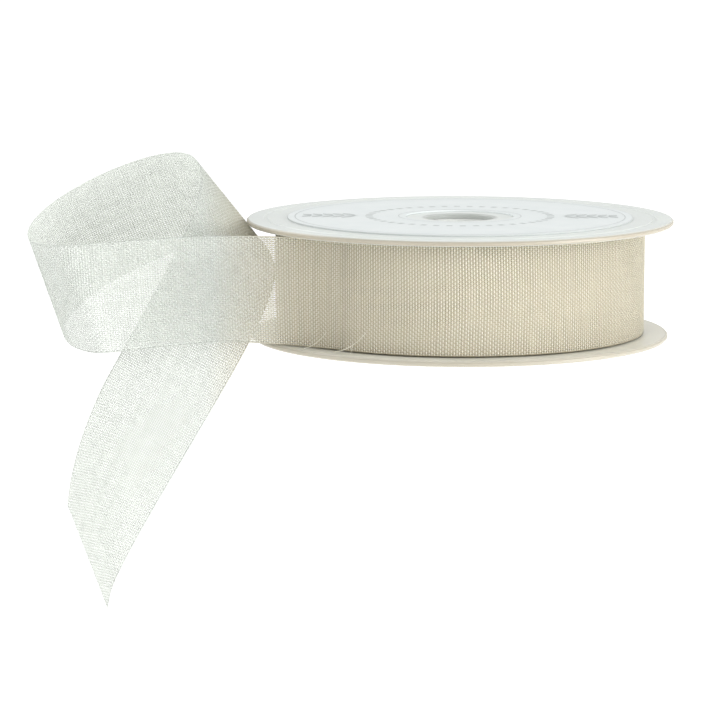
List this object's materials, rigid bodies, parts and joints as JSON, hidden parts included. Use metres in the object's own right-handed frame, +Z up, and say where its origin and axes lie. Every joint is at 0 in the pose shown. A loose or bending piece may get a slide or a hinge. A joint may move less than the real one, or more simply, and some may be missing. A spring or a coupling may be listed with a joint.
{
  "type": "ribbon spool",
  "caption": "Low round spool of sheer woven ribbon, with a card label, a spindle bore and a loose end that folds back and hangs.",
  "frame": {"origin": "on the spindle axis at the underside of the lower flange", "axes": "+Z up along the spindle axis towards the labelled flange, the loose end leaves towards -X, +Y away from the side where the loose end leaves the roll"},
  "size_m": [0.1499, 0.1, 0.1097],
  "materials": {
    "flange_plastic": "smooth, slightly milky",
    "drum_plastic": "plain moulded",
    "tape": "smooth",
    "label_card": "smooth coated card",
    "wound_ribbon": "dense rolled sheer weave",
    "loose_ribbon": "sheer plain weave with woven edges"
  },
  "bodies": {
    "spool": {"upper_flange": "flange_plastic", "lower_flange": "flange_plastic", "winding_drum": "drum_plastic", "start_tape": "tape", "upper_label": "label_card", "ribbon_winding": "wound_ribbon"},
    "loose_end": {"ribbon_free_end": "loose_ribbon"}
  },
  "joints": [
    {"name": "ribbon_unwind", "type": "hinge", "parent": "spool", "child": "loose_end", "pos_m": [0, 0, 0.014], "axis": [0, 0, 1], "continuous": true}
  ]
}
